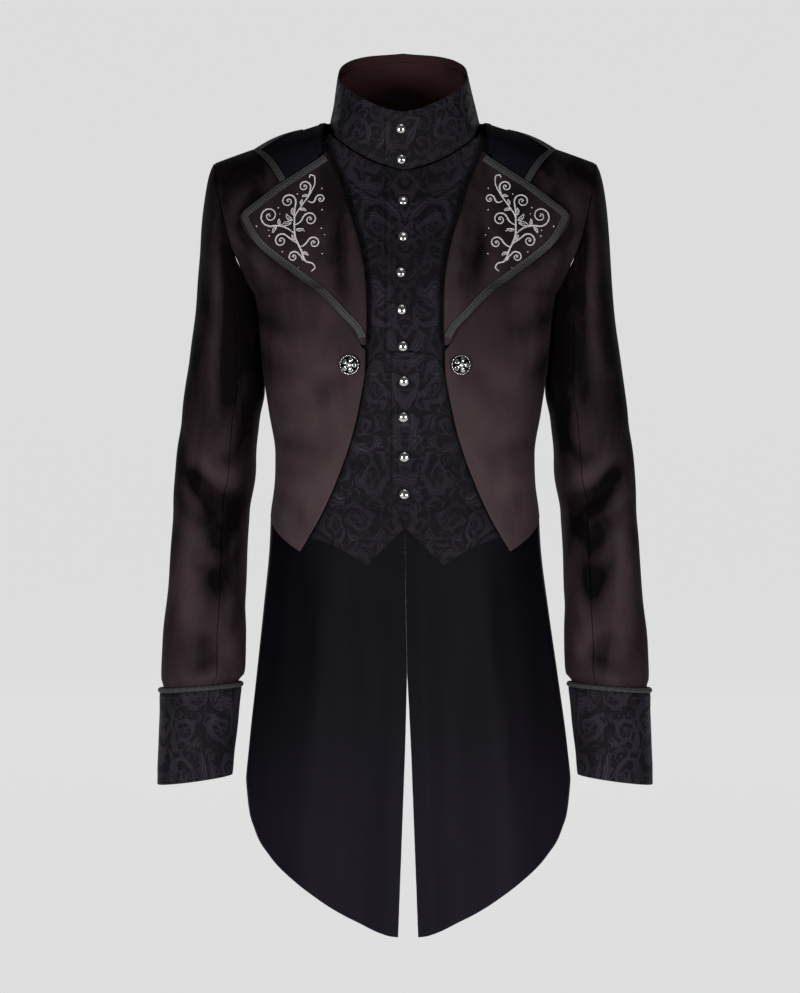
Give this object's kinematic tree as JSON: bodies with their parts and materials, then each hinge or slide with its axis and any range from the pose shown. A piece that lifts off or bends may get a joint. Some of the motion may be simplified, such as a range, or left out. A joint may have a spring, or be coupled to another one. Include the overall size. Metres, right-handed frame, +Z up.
{
  "type": "gothic jacket",
  "caption": "Velvet tailcoat with a mock waistcoat front, stand collar, wide embroidered lapels, turned-back cuffs and long split tails, shown filled out as if worn.",
  "frame": {"origin": "On the shoulder line at the middle of the neck, where the coat is held when it is worn", "axes": "+X to the wearer's left, the front faces -Y, +Z up"},
  "size_m": [0.5896, 0.2491, 1.0795],
  "materials": {
    "velvet": "dark brown crushed cotton velvet with a warm sheen",
    "fall_velvet": "matte black velvet",
    "brocade": "near-black brocade with a woven scroll pattern",
    "satin": "blue-black satin lining",
    "wine_facing": "dark wine velvet",
    "braid": "dark grey flat woven braid",
    "silver": "polished silver-coloured metal"
  },
  "bodies": {
    "root": {"button_01": "silver", "button_02": "silver", "button_03": "silver", "button_04": "silver", "button_05": "silver", "button_06": "silver", "button_07": "silver", "button_08": "silver", "button_09": "silver", "button_10": "silver", "button_11": "silver", "coat_back_left": "velvet", "coat_back_right": "velvet", "coat_front_left": "velvet", "coat_front_right": "velvet", "collar_braid": "braid", "collar_fall": "fall_velvet", "cuff_left": "brocade", "cuff_right": "brocade", "cuff_roll_left": "brocade", "cuff_roll_right": "brocade", "front_button_left": "silver", "front_button_right": "silver", "lapel_braid_left": "braid", "lapel_braid_right": "braid", "lapel_left": "velvet", "lapel_right": "velvet", "sleeve_top_left": "velvet", "sleeve_top_right": "velvet", "sleeve_under_left": "velvet", "sleeve_under_right": "velvet", "stand_collar": "brocade", "stand_collar_facing": "wine_facing", "tail_left": "velvet", "tail_lining_left": "satin", "tail_lining_right": "satin", "tail_right": "velvet", "waist_panel_left": "brocade", "waist_panel_right": "brocade", "waistcoat_left": "brocade", "waistcoat_right": "brocade"}
  },
  "joints": []
}
